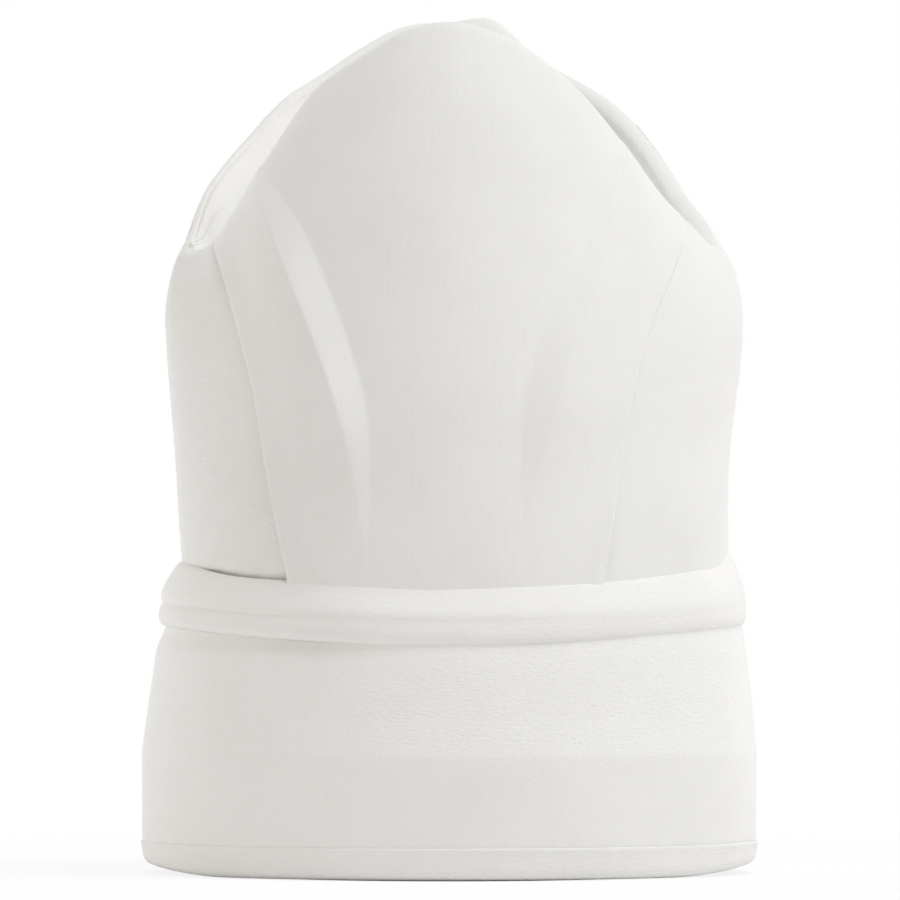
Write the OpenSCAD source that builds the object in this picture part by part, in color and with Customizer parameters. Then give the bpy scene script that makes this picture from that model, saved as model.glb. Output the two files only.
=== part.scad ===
// A soft cook's hat: a tall pleated cloth crown with a pinched top, standing in a turned-up band.
// The band is an open strip, and its ends lap at the back under a flap with hook and loop strips.
// The hat stands on its hem at z = 0, about the Z axis, and its front faces -Y.

/* [Head] */
// Inside girth of the sweatband, which is the hat size
head_girth = 587; // [560:1:620]

/* [Cloth] */
// Thickness of the crown cloth
crown_t = 1.6; // [1:0.1:2]
// Thickness of the outer cloth of the band
band_t = 2; // [1.4:0.1:2.6]
// Thickness of the lining of the band
lining_t = 1.2; // [0.8:0.1:2]
// Thickness of the stiffener strip in the band
stiffener_t = 1; // [0.6:0.1:2]
// Thickness of the sweatband
sweatband_t = 1.5; // [1:0.1:3]
// Clearance between layers that are sewn together
gap = 0.3; // [0.2:0.05:0.4]

/* [Band] */
// Height of the band, from the table to the top of its roll
band_h = 99; // [92:1:110]
// Height of the folded hem
hem_h = 9.5; // [7:0.5:14]
// Rounding of the lower edge of the hem
hem_round = 4; // [1:0.5:4.5]
// How far the hem is proud of the band above it
hem_proud = 0.3; // [0:0.1:1]
// How far the hem stands back from the sweatband inside
hem_relief = 0.9; // [0.6:0.1:1.5]
// Height of the stiffener, where the band starts to lean in
bend_z = 39.5; // [36:0.5:48]
// Height of the sweatband
sweatband_h = 26; // [16:1:26]
// How far the band leans in between the bend and the roll
band_lean = 5.2; // [3:0.1:6]
// How far the crown stands in from the face of the band
crown_inset = 11; // [10.5:0.5:13]
// Radius of the upper bead of the roll
bead_r = 6; // [5:0.5:7]
// Radius of the lower bead of the roll
tuck_r = 3.5; // [2.5:0.5:4]
// Height of the whole roll, from its lower edge to its top
roll_h = 20.5; // [19:0.5:22]
// Length of the tail of the roll that is sewn in behind the band
roll_tail = 8; // [4:0.5:9]
// How far the top of the roll stands off the crown
roll_flare = 1.5; // [1:0.1:2.5]

/* [Crown] */
// Height of the front lip above the band, before the lip rolls over
front_lip_h = 172.4; // [150:0.1:200]
// Height of the back lip above the band, before the lip rolls over
back_lip_h = 178.6; // [150:0.1:200]
// Height of the shoulders above the band, before they roll over
shoulder_h = 100.5; // [85:0.5:120]
// Width over the shoulders
shoulder_w = 175; // [160:1:184]
// Depth from the front lip to the middle of the hat
front_lip_d = 38; // [30:1:50]
// Depth from the back lip to the middle of the hat
back_lip_d = 40; // [30:1:50]
// How fast the front lip falls from its peak to the shoulders
front_fall = 2.6; // [2:0.1:3.2]
// How fast the back lip falls from its peak to the shoulders
back_fall = 1.7; // [1.4:0.1:3]
// How far the sides draw in above the band
side_waist = 2.5; // [0:0.5:5]
// How far the sides swell out below the shoulders
side_swell = 12.5; // [6:0.5:16]
// How far the front and back swell out above the band
face_swell = 3; // [0:0.5:6]
// How far the front and back have drawn in below the lips
face_lean = 13; // [6:1:24]
// Radius at which the cloth rolls over at the lips and shoulders
lip_r = 5.5; // [5:0.1:6.5]
// How far the edge of the top lies in from the middle of the rolled lip
top_inset = 0.8; // [0.5:0.1:1.5]
// How deep the top sinks between the lips
top_sag = 16; // [8:1:24]

/* [Panels and pleats] */
// Half angle that the front or back panel takes up where it enters the band
edge_foot_deg = 36; // [32:1:42]
// Half angle that the front or back panel takes up at the lip
edge_rim_deg = 58; // [54:1:62]
// How late the edges of the panels fan out on their way up
edge_fan = 2.6; // [1.6:0.1:3.4]
// Half angle from one pleat to the middle where the panel enters the band
fold_foot_deg = 16; // [14:1:19]
// Half angle from one pleat to the middle at the lip
fold_rim_deg = 44; // [38:1:46]
// How late the pleats fan out on their way up
fold_fan = 2.9; // [2:0.1:3.4]
// Width of an open pleat at its widest
pleat_w = 12.5; // [8:0.5:15]
// How far the ridge of an open pleat stands out
pleat_h = 5.5; // [3:0.5:8]
// How far up the panel a pleat is widest, larger is higher
pleat_skew = 1.25; // [0.9:0.05:1.6]
// How far a side panel runs in behind the front or back panel
lap = 8; // [4:0.5:10]
// Width over which a side panel dips on its way behind
dip_w = 15; // [8:1:20]

/* [Closure] */
// Length of the flap from its root to its free end
flap_l = 75; // [60:1:90]
// Thickness of the flap
flap_t = 1.6; // [1:0.1:2]
// Height of the lower edge of the flap above the table
flap_foot = 1; // [0.5:0.5:4]
// Thickness of each of the hook and loop strips
strip_t = 0.8; // [0.6:0.1:1]
// Height of the hook and loop strips
strip_h = 22; // [12:1:24]
// Length of the hook strip
hook_l = 34; // [20:1:40]
// Length of the loop strip
loop_l = 56; // [44:1:58]
// Gap between the ends of the band
slit_w = 1.5; // [1:0.1:3]

/* [Hidden] */
$fn = 96;

cloth_white = [0.93, 0.93, 0.92];
lining_white = [0.9, 0.9, 0.87];
felt_grey = [0.8, 0.8, 0.78];
strip_white = [0.88, 0.88, 0.88];

// Radii of the layers of the band, from the head outward
sweat_in = head_girth / (2 * PI);
lining_in = sweat_in + sweatband_t + gap;
stiffener_in = lining_in + lining_t + gap;
band_in = stiffener_in + stiffener_t + gap;
band_out = band_in + band_t;

// Heights and radii at the top of the band, where the crown is sewn in
crown_r = band_out - crown_inset;
crown_lift = 2;
roll_foot = band_h - roll_h;
crown_foot = roll_foot + crown_lift;
roll_in = crown_r + gap;
roll_out = band_out - band_lean + gap;
tail_t = band_out - band_lean - band_t - gap - roll_in;
layer_foot = hem_h + gap;
lining_neck = crown_r - 2 * (crown_t + gap) - lining_t;
lining_top = band_h - bead_r;
neck_drop = 1;
neck_z = crown_foot - neck_drop;
lean_power = 1.3;
lean_steps = 6;

// Heights of the lips and shoulders
front_peak = band_h + front_lip_h;
back_peak = band_h + back_lip_h;
shoulder_z = band_h + shoulder_h;
waist_at = 0.39;
swell_at = 0.8;

// Width that the face of a pleat keeps where it is shut
shut_w = 2;

// How finely the cloth of the crown is divided
wall_rows = 13;
lip_rows = 3;
lip_turn = 95;
centre_cols = 5;
pleat_cols = 3;
strip_cols = 3;
dip_cols = 3;
side_cols = 6;
top_cols = 28;
top_rows = 10;
top_reach_deg = 77;
tiny = 0.01;

// Where the two beads of the roll start and stop, and how finely round edges are divided
tuck_from_deg = -80;
tuck_to_deg = 45;
bead_from_deg = -40;
arc_steps = 6;
hem_chamfer = 1;

// How far a cut runs past what it cuts
past = 1;

// Angles of the closure, measured round the Z axis from +X
strip_stack = 2 * strip_t + 3 * gap;
flap_in = band_out + strip_stack;
flap_deg = arc_deg(flap_l, flap_in);
flap_root_deg = 90 + flap_deg / 2;
slit_set_back = 4.5;
slit_deg = flap_root_deg - arc_deg(slit_set_back, band_out);
root_r = (strip_stack + flap_t) / 2;
strip_z = (layer_foot + bend_z - strip_h) / 2;
strip_inset = 5;

function arc_deg(length, radius) = length / radius * 180 / PI;

function bezier(p, v) =
    pow(1 - v, 3) * p[0] + 3 * pow(1 - v, 2) * v * p[1] + 3 * (1 - v) * pow(v, 2) * p[2] + pow(v, 3) * p[3];

function unit(a) = a / norm(a);

function arc(centre, r, from, to, steps) =
    [for (k = [0 : steps]) let (a = from + (to - from) * k / steps) centre + r * [cos(a), sin(a)]];

// Outer face of the band at height z, up to the roll
function band_face(z) =
    band_out - band_lean * pow(max(0, z - bend_z) / (roll_foot - bend_z), lean_power);

// Points up the leaning part of the band, at a distance out from its face
function leaning_line(out, top) =
    [for (k = [0 : lean_steps]) let (z = bend_z + (top - bend_z) * k / lean_steps) [band_face(z) + out, z]];

function reversed(list) = [for (k = [len(list) - 1 : -1 : 0]) list[k]];

// The crown: psi turns from the front (0) to the right, and v climbs from the foot (0) to the lip (1)
function half_width(v) =
    bezier([crown_r, crown_r - side_waist, crown_r + side_swell, shoulder_w / 2], v);

function half_depth(psi, v) =
    bezier([crown_r, crown_r + face_swell, crown_r - face_lean, cos(psi) > 0 ? front_lip_d : back_lip_d], v);

function climb(v) = bezier([0, waist_at, swell_at, 1], v);

function lip_z(psi) =
    cos(psi) > 0
        ? shoulder_z + (front_peak - shoulder_z) * pow(cos(psi), front_fall)
        : shoulder_z + (back_peak - shoulder_z) * pow(-cos(psi), back_fall);

function wall(psi, v) = [
    half_width(v) * sin(psi),
    -half_depth(psi, v) * cos(psi),
    crown_foot + (lip_z(psi) - crown_foot) * climb(v)
];

function up_the_wall(psi, v) = unit(wall(psi, v + tiny) - wall(psi, v - tiny));

function out_of_wall(psi, v) =
    unit(cross(wall(psi + tiny, v) - wall(psi - tiny, v), wall(psi, v + tiny) - wall(psi, v - tiny)));

// Middle of the roll that the cloth makes at the lip
function lip_core(psi) = wall(psi, 1) - lip_r * out_of_wall(psi, 1);

// A point of the cloth at a distance out of the wall, rolled over the lip by an angle
function cloth_point(psi, v, roll, out) =
    roll == 0
        ? wall(psi, v) + out * out_of_wall(psi, v)
        : lip_core(psi)
            + (lip_r + out) * (cos(roll) * out_of_wall(psi, 1) + sin(roll) * up_the_wall(psi, 1));

crown_rows = concat(
    [for (k = [0 : wall_rows]) [k / wall_rows, 0]],
    [for (k = [1 : lip_rows]) [1, k * lip_turn / lip_rows]]
);

function fan(foot, rim, power, v) = foot + (rim - foot) * pow(climb(v), power);
function edge_deg(v) = fan(edge_foot_deg, edge_rim_deg, edge_fan, v);
function fold_deg(v) = fan(fold_foot_deg, fold_rim_deg, fold_fan, v);
function pleat_open(v) = sin(180 * pow(climb(v), pleat_skew));

// A point of the face of the cloth and the point of its back behind it, where its tilt changes
function skin(angle, out, before, after, r) =
    let (inset = crown_t / (1 + cos(after - before)))
    [
        angle, out,
        angle + arc_deg(inset * (sin(before) + sin(after)), r), out - inset * (cos(before) + cos(after))
    ];

// One half of a pleated panel, from its middle to its edge: [angle, out, inner angle, inner out]
function pleated_half(v) =
    let (
        r = half_width(v),
        fold = fold_deg(v),
        edge = edge_deg(v),
        h = pleat_h * pleat_open(v),
        w = shut_w + (pleat_w - shut_w) * pleat_open(v),
        ridge = fold + arc_deg(w, r),
        face = atan2(h, w),
        fall = -atan2(h, (edge - ridge) / arc_deg(1, r))
    )
    concat(
        [for (k = [0 : centre_cols - 1]) skin(fold * k / centre_cols, 0, 0, 0, r)],
        [skin(fold, 0, 0, face, r)],
        [for (k = [1 : pleat_cols - 1])
            let (s = k / pleat_cols) skin(fold + (ridge - fold) * s, h * s, face, face, r)],
        [skin(ridge, h, face, fall, r)],
        [for (k = [1 : strip_cols])
            let (s = k / strip_cols) skin(ridge + (edge - ridge) * s, h * (1 - s), fall, fall, r)]
    );

function mirrored(columns) =
    [for (k = [len(columns) - 1 : -1 : 1]) let (c = columns[k]) [-c[0], c[1], -c[2], c[3]]];

function pleated_columns(v) = concat(mirrored(pleated_half(v)), pleated_half(v));

// One half of a side panel, from its middle to the edge that lies behind the pleated panel
function side_half(v) =
    let (
        r = half_width(v),
        edge = 90 - edge_deg(v),
        ramp = arc_deg(dip_w, r),
        under = -crown_t - gap
    )
    concat(
        [for (k = [0 : side_cols - 1]) let (a = (edge - ramp) * k / side_cols) [a, 0, a, -crown_t]],
        [for (k = [0 : dip_cols])
            let (s = k / dip_cols, a = edge - ramp * (1 - s), out = under * s * s * (3 - 2 * s))
            [a, out, a, out - crown_t]],
        [let (a = edge + arc_deg(lap, r)) [a, under, a, under - crown_t]]
    );

function side_columns(v) = concat(mirrored(side_half(v)), side_half(v));

// Edge of the top, just inside the rolled lip
function top_edge(psi) = lip_core(psi) - top_inset * out_of_wall(psi, 1);

// Middle of the sunken top, from the front lip (s = 0) to the back lip (s = 1)
function top_point(psi, s) =
    (1 - s) * top_edge(psi) + s * top_edge(180 - psi) - [0, 0, top_sag * cos(psi) * 4 * s * (1 - s)];

// A closed sheet between a grid of outer points and a grid of inner points
module sheet(outer, inner) {
    rows = len(outer) - 1;
    cols = len(outer[0]) - 1;
    function o(r, c) = r * (cols + 1) + c;
    function i(r, c) = o(r, c) + (rows + 1) * (cols + 1);
    function quad(a, b, c, d) = [[a, b, c], [a, c, d]];
    quads = concat(
        [for (r = [0 : rows - 1], c = [0 : cols - 1]) each concat(
            quad(o(r, c), o(r + 1, c), o(r + 1, c + 1), o(r, c + 1)),
            quad(i(r, c), i(r, c + 1), i(r + 1, c + 1), i(r + 1, c))
        )],
        [for (c = [0 : cols - 1]) each concat(
            quad(o(0, c), o(0, c + 1), i(0, c + 1), i(0, c)),
            quad(o(rows, c + 1), o(rows, c), i(rows, c), i(rows, c + 1))
        )],
        [for (r = [0 : rows - 1]) each concat(
            quad(o(r + 1, 0), o(r, 0), i(r, 0), i(r + 1, 0)),
            quad(o(r, cols), o(r + 1, cols), i(r + 1, cols), i(r, cols))
        )]
    );
    polyhedron([for (grid = [outer, inner]) each [for (row = grid) each row]], quads, convexity = 12);
}

// A panel of the crown round a middle angle, with the columns that it has at each row
module crown_panel(middle, columns_at) {
    outer = [for (row = crown_rows)
        [for (c = columns_at(row[0])) cloth_point(middle + c[0], row[0], row[1], c[1])]];
    inner = [for (row = crown_rows)
        [for (c = columns_at(row[0])) cloth_point(middle + c[2], row[0], row[1], c[3])]];
    sheet(outer, inner);
}

// A ring of the band, open at the slit
module open_ring() {
    difference() {
        rotate_extrude() children();
        rotate(slit_deg)
            translate([lining_neck - past, -slit_w / 2, -past])
                cube([band_out + hem_proud - lining_neck + 2 * past, slit_w, band_h + 2 * past]);
    }
}

// A part of a ring, from one angle to another
module ring_part(from, to) {
    rotate(from) rotate_extrude(angle = to - from) children();
}

module crown_front_panel() {
    color(cloth_white) crown_panel(0, function(v) pleated_columns(v));
}

module crown_back_panel() {
    color(cloth_white) crown_panel(180, function(v) pleated_columns(v));
}

module crown_left_panel() {
    color(cloth_white) crown_panel(-90, function(v) side_columns(v));
}

module crown_right_panel() {
    color(cloth_white) crown_panel(90, function(v) side_columns(v));
}

module crown_top_panel() {
    half = [0, 0, crown_t / 2];
    grid = [for (r = [0 : top_rows])
        [for (c = [0 : top_cols]) top_point(top_reach_deg * (2 * c / top_cols - 1), r / top_rows)]];
    color(cloth_white)
        sheet([for (row = grid) [for (p = row) p + half]], [for (row = grid) [for (p = row) p - half]]);
}

// The rolled top of the band: a bead over a smaller tuck, with a tail sewn in behind the band
module band_roll() {
    bead = [roll_out - bead_r, band_h - bead_r];
    tuck = [roll_out - tuck_r, roll_foot + tuck_r];
    bead_to_deg = acos((roll_in + roll_flare - bead[0]) / bead_r);
    outline = concat(
        [[roll_in, roll_foot - roll_tail], [roll_in + tail_t, roll_foot - roll_tail]],
        [[roll_in + tail_t, roll_foot]],
        arc(tuck, tuck_r, tuck_from_deg, tuck_to_deg, arc_steps),
        arc(bead, bead_r, bead_from_deg, bead_to_deg, arc_steps),
        [[roll_in, roll_foot + tuck_r]]
    );
    color(cloth_white) open_ring() polygon(outline);
}

module outer_band() {
    top = roll_foot - gap;
    outline = concat(
        [[band_in, layer_foot], [band_out, layer_foot]],
        leaning_line(0, top),
        reversed(leaning_line(-band_t, top))
    );
    color(cloth_white) open_ring() polygon(outline);
}

module band_stiffener() {
    color(felt_grey) open_ring()
        translate([stiffener_in, layer_foot]) square([stiffener_t, bend_z - layer_foot]);
}

// The lining runs up inside the band and narrows to the neck of the crown
module band_lining() {
    outline = [
        [lining_in, layer_foot],
        [lining_in + lining_t, layer_foot],
        [lining_in + lining_t, bend_z],
        [lining_neck + lining_t, neck_z],
        [lining_neck + lining_t, lining_top],
        [lining_neck, lining_top],
        [lining_neck, neck_z],
        [lining_in, bend_z]
    ];
    color(lining_white) open_ring() polygon(outline);
}

module sweatband() {
    color(lining_white) open_ring()
        translate([sweat_in, layer_foot]) square([sweatband_t, sweatband_h]);
}

// The cloth turned under at the bottom, on which the hat stands
module hem_fold() {
    out = band_out + hem_proud;
    edge = [out - hem_round, hem_round];
    outline = concat(
        [[sweat_in + hem_relief, 0]],
        arc(edge, hem_round, -90, 0, arc_steps),
        [[out, hem_h - hem_chamfer], [out - hem_chamfer, hem_h], [sweat_in + hem_relief, hem_h]]
    );
    color(cloth_white) open_ring() polygon(outline);
}

// The end of the band that laps over the other end, with a rolled root to turn on
module closure_flap() {
    top = band_h - bead_r;
    inner_line = concat([[flap_in, flap_foot]], leaning_line(strip_stack, roll_foot));
    outer_line = concat([[flap_in + flap_t, flap_foot]], leaning_line(strip_stack + flap_t, roll_foot));
    head = [band_face(roll_foot) + strip_stack, top];
    color(cloth_white) {
        ring_part(90 - flap_deg / 2, flap_root_deg)
            polygon(concat(outer_line, [head + [flap_t, 0]], [head], reversed(inner_line)));
        rotate(flap_root_deg)
            translate([band_out + gap + root_r, 0, flap_foot]) cylinder(r = root_r, h = bend_z - flap_foot);
    }
}

module hook_strip() {
    from = 90 - flap_deg / 2 + arc_deg(strip_inset, flap_in);
    color(strip_white)
        ring_part(from, from + arc_deg(hook_l, flap_in))
            translate([flap_in - gap - strip_t, strip_z]) square([strip_t, strip_h]);
}

module loop_strip() {
    from = 90 - flap_deg / 2 + arc_deg(strip_inset, band_out);
    color(strip_white)
        ring_part(from, from + arc_deg(loop_l, band_out))
            translate([band_out + gap, strip_z]) square([strip_t, strip_h]);
}

crown_front_panel();
crown_back_panel();
crown_left_panel();
crown_right_panel();
crown_top_panel();
band_roll();
outer_band();
band_stiffener();
band_lining();
sweatband();
hem_fold();
closure_flap();
hook_strip();
loop_strip();
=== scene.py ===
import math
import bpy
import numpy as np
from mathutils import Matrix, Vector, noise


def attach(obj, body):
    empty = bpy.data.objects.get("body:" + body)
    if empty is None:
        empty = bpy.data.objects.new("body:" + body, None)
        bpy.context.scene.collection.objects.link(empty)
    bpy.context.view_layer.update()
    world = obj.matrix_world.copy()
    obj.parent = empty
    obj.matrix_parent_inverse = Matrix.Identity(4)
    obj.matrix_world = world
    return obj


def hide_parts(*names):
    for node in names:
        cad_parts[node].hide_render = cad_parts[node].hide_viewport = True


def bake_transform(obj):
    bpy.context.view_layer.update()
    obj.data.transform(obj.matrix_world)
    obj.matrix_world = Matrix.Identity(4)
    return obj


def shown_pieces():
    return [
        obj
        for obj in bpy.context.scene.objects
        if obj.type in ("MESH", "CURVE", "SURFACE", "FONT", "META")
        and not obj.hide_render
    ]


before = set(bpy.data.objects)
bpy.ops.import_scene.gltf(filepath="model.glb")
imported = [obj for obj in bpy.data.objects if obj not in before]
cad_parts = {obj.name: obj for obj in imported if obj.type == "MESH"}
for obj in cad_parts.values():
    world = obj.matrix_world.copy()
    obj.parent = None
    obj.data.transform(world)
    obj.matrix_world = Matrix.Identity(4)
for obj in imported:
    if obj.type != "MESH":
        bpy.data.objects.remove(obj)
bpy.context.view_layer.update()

# %% [markdown]
# # A soft cook's hat, dressed around its CAD frame
# The frame brings in the hat as stiff solids, each named for the piece of cloth that it stands for. A
# real hat is cut from flat cloth and sewn, so this lesson makes each piece the same way. A flat grid is
# the cut cloth, and a short function says where every point of it ends up once it is sewn. Everything is
# worked out in millimetres, as a pattern maker would, and becomes metres only when it goes into a mesh.

MM = 0.001

# %% [markdown]
# ## Camera
# The photograph is taken from straight ahead with a long lens: the foot of the band shows as a shallow
# curve, which puts the camera less than two degrees above it. A short lens close by would swell the band,
# so the camera stands almost three metres away, and its lens is set by the width of the picture there.

# %% Camera
CAMERA_AWAY = 2.8
CAMERA_UP = 0.085
CAMERA_RIGHT = 0.0002
AIM_UP = 0.1372
PICTURE_WIDE = 0.2931
SENSOR = 36.0
FARTHEST = 50.0

bpy.ops.object.camera_add(location=(CAMERA_RIGHT, -CAMERA_AWAY, CAMERA_UP))
camera = bpy.context.object
camera.rotation_euler = (math.pi / 2 + math.atan2(AIM_UP - CAMERA_UP, CAMERA_AWAY), 0, 0)
camera.data.sensor_width = SENSOR
camera.data.lens = SENSOR * CAMERA_AWAY / PICTURE_WIDE
camera.data.clip_end = FARTHEST
bpy.context.scene.camera = camera
bpy.context.scene.view_settings.view_transform = "Standard"
print("camera lens:", round(camera.data.lens), "mm")

# %% [markdown]
# ## Shapes that change smoothly
# Seams and folds wander as they climb. A few readings, joined by a smooth curve, describe such a line
# better than one formula, and straight joins between them would show as kinks in the cloth.

# %% A smooth line through a few readings
def flow(x, stops, values):
    """A smooth curve through values at stops, flat beyond the ends."""
    stops, values = np.array(stops, float), np.array(values, float)
    x = np.clip(np.asarray(x, float), stops[0], stops[-1])
    tangent = np.gradient(values, stops)
    k = np.clip(np.searchsorted(stops, x, "right") - 1, 0, len(stops) - 2)
    step = stops[k + 1] - stops[k]
    s = (x - stops[k]) / step
    rise = values[k] * (1 + 2 * s) * (1 - s) ** 2 + values[k + 1] * s * s * (3 - 2 * s)
    return rise + step * (tangent[k] * s * (1 - s) ** 2 - tangent[k + 1] * s * s * (1 - s))


def ease(x, start, end):
    """0 before start, 1 after end, and smooth between."""
    s = np.clip((np.asarray(x, float) - start) / (end - start), 0, 1)
    return s * s * (3 - 2 * s)


def bezier(points, v):
    """A curve from the first point to the last, drawn towards the two between."""
    a, b, c, d = points
    return (1 - v) ** 3 * a + 3 * (1 - v) ** 2 * v * b + 3 * (1 - v) * v * v * c + v ** 3 * d


def unit(rows):
    """The same directions, each of length 1."""
    return rows / np.linalg.norm(rows, axis=1)[:, None]


def ripple(points, size, seed):
    """Soft unevenness from -1 to 1 that changes over about the given size in millimetres."""
    start = Vector((seed * 7.3, seed * 3.1, seed * 5.7))
    return np.array([noise.noise(Vector(p) / size + start) for p in points])


print("an eased step, a quarter of the way:", round(float(ease(0.25, 0, 1)), 3))

# %% [markdown]
# ## The crown
# The crown is a tube of cloth that stands in the band, swells to the shoulders, and is drawn together
# into two high lips, one in front and one behind. Angles run round it from the middle of the front,
# positive to the right, and v climbs from the foot to the lip.

# %% The wall of the crown
CROWN_R = 89.024
CROWN_FOOT = 80.5
SHOULDER_Z = 199.5
SHOULDER_HALF = 87.5
FRONT_LIP_DEEP, BACK_LIP_DEEP = 47.0, 40.0
SIDE_HANDLES, FRONT_HANDLES, BACK_HANDLES = (-2.5, 12.5), (-1, -18), (3, -13)
CLIMB = (0, 0.39, 0.8, 1)
LIP_R = 5.5
BACK_TIGHT = 3.0
TIGHT_AT, TIGHT_HALF, TIGHT_FADE = -130.0, 35.0, 55.0
PINCH = 0.6
SEAM_FRONT, SEAM_BACK = 80.0, 35.0
LIP_TURNS = list(range(-90, 91, 10))
FRONT_LIP = [0, 0, 0.2, 3.6, 15.5, 33.4, 50.8, 60.5, 68.8, 71.8,
             68.7, 60.9, 49.1, 34, 19.3, 10.2, 3.3, 1, 0]
BACK_LIP = [0, 4.6, 17, 27.3, 38, 49.9, 58.2, 67.4, 74.7, 77.4,
            78.3, 65.3, 57.3, 48.6, 35.4, 21.2, 11.4, 3.4, 0]
DRIFT_STOPS = [0, 0.2, 0.5, 0.8, 1]
LEFT_DRIFT = [-2.6, -1.9, -2.1, -0.6, 2.8]
RIGHT_DRIFT = [1.6, 2.0, 0.3, 1.9, 3.4]


def climb(v):
    """How far up the wall v is, as a share of its height."""
    return bezier(CLIMB, v)


def around(degrees):
    """The same angle, between -180 and 180."""
    return (degrees + 180) % 360 - 180


def lip_radius(degrees):
    """The cloth turns over the lip in a soft roll, and in a tighter one at the back on the left."""
    return LIP_R - BACK_TIGHT * (1 - ease(np.abs(around(degrees - TIGHT_AT)), TIGHT_HALF, TIGHT_FADE))


def lip_height(psi):
    """Height of the lip, from readings of its front and back, left to right."""
    turn = np.degrees(np.arcsin(np.clip(np.sin(psi), -1, 1)))
    above = np.where(np.cos(psi) > 0, flow(turn, LIP_TURNS, FRONT_LIP), flow(turn, LIP_TURNS, BACK_LIP))
    return SHOULDER_Z + above + LIP_R - lip_radius(np.degrees(psi))


def side_drift(psi, rise):
    """How far the sides stand out from the even shape, a little differently on the left and right."""
    left, right = flow(rise, DRIFT_STOPS, LEFT_DRIFT), flow(rise, DRIFT_STOPS, RIGHT_DRIFT)
    return np.where(np.sin(psi) < 0, left, right) * np.sin(psi) ** 2


def swelling(handles, lip, v):
    """A half size that starts as the radius of the foot and ends as that of the lip."""
    return bezier((CROWN_R, CROWN_R + handles[0], CROWN_R + handles[1], lip), v)


def half_sizes(psi, v):
    """Half the width and half the depth of the crown."""
    wide = swelling(SIDE_HANDLES, SHOULDER_HALF, v) + side_drift(psi, climb(v))
    wide = wide - (LIP_R - lip_radius(np.degrees(psi))) * ease(climb(v), 0.8, 1)
    front, back = swelling(FRONT_HANDLES, FRONT_LIP_DEEP, v), swelling(BACK_HANDLES, BACK_LIP_DEEP, v)
    return wide, np.where(np.cos(psi) > 0, front, back)


def wall(psi, v):
    """A point of the wall. In front it is drawn to a blunt edge as it climbs."""
    rise = climb(v)
    wide, deep = half_sizes(psi, v)
    z = CROWN_FOOT + (lip_height(psi) - CROWN_FOOT) * rise
    pinch = np.where(np.cos(psi) > 0, PINCH, 0) * rise ** 3
    pinched = np.cos(psi) * np.maximum(np.abs(np.cos(psi)), 1e-6) ** pinch
    return np.stack([wide * np.sin(psi), -deep * pinched, z], 1)


def seam_turn(degrees):
    """How far over the lip the top is sewn on, in degrees: inside it in front, outside it behind."""
    return SEAM_FRONT - (SEAM_FRONT - SEAM_BACK) * ease(np.abs(around(degrees)), 80, 112)


def crown_point(degrees, t, out):
    """Cloth at an angle, t up the wall (1 to 2 is the roll over the lip to the seam), out from the wall."""
    psi, v = np.radians(degrees), np.minimum(t, 1.0)
    roll = np.radians(np.maximum(t - 1, 0) * seam_turn(degrees))
    tiny = 0.002
    up = unit(wall(psi, v + tiny) - wall(psi, v - tiny))
    wide, deep = half_sizes(psi, v)
    level = np.stack([np.sin(psi) / wide, -np.cos(psi) / deep, 0 * psi], 1)
    away = unit(level - (level * up).sum(1)[:, None] * up)
    flat = wall(psi, v) + out[:, None] * away
    turned = np.cos(roll)[:, None] * away + np.sin(roll)[:, None] * up
    radius = lip_radius(degrees)[:, None]
    rolled = wall(psi, v) - radius * away + (radius + out[:, None]) * turned
    return np.where((t > 1)[:, None], rolled, flat)


for lip, psi in (("front", 0.0), ("back", math.pi)):
    print("the", lip, "lip is", round(float(lip_height(psi)), 1), "mm high")

# %% [markdown]
# ## Cutting and sewing
# A grid added by `primitive_grid_add` is the flat cloth. Sewing moves each of its points to its place,
# and its UV map holds the distance along the cloth in metres, so that a weave keeps its size everywhere.
# The cloth then gets its thickness from Solidify, and one level of subdivision rounds its cut edges and
# folds. A cloth simulation could drape it too, but this hat is pressed and starched, and its shape is
# known.

# %% Cut, sew and thicken
def cut(name, cols, rows):
    """A flat grid of cloth, and the place of each of its points from 0 to 1 across and up."""
    bpy.ops.object.select_all(action="DESELECT")
    bpy.ops.mesh.primitive_grid_add(x_subdivisions=cols, y_subdivisions=rows, size=2)
    piece = bpy.context.object
    piece.name = piece.data.name = name
    flat = np.array([v.co for v in piece.data.vertices])
    return piece, np.round((flat[:, 0] + 1) / 2 * cols) / cols, np.round((flat[:, 1] + 1) / 2 * rows) / rows


def sew(piece, u, v, points):
    """Moves the cloth to its place, and writes the distance along it, across and up, into its UV map."""
    order = np.lexsort((u, v))
    cloth = points[order].reshape(len(np.unique(v)), -1, 3)
    across, up = np.zeros(cloth.shape[:2]), np.zeros(cloth.shape[:2])
    across[:, 1:] = np.cumsum(np.linalg.norm(np.diff(cloth, axis=1), axis=2), axis=1)
    up[1:] = np.cumsum(np.linalg.norm(np.diff(cloth, axis=0), axis=2), axis=0)
    across -= across[:, across.shape[1] // 2][:, None]
    place = np.zeros((len(points), 2))
    place[order] = np.stack([across.ravel(), up.ravel()], 1)
    mesh = piece.data
    mesh.vertices.foreach_set("co", (points * MM).ravel())
    corner = np.array([loop.vertex_index for loop in mesh.loops])
    layer = mesh.uv_layers.active or mesh.uv_layers.new(name="UVMap")
    layer.data.foreach_set("uv", (place[corner] * MM).ravel())
    mesh.update()
    return cloth


def apply_modifier(piece, kind, **settings):
    """Adds a modifier with its settings, and applies it."""
    bpy.context.view_layer.objects.active = piece
    bpy.ops.object.modifier_add(type=kind)
    modifier = piece.modifiers[-1]
    for key, value in settings.items():
        setattr(modifier, key, value)
    bpy.ops.object.modifier_apply(modifier=modifier.name)


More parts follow.
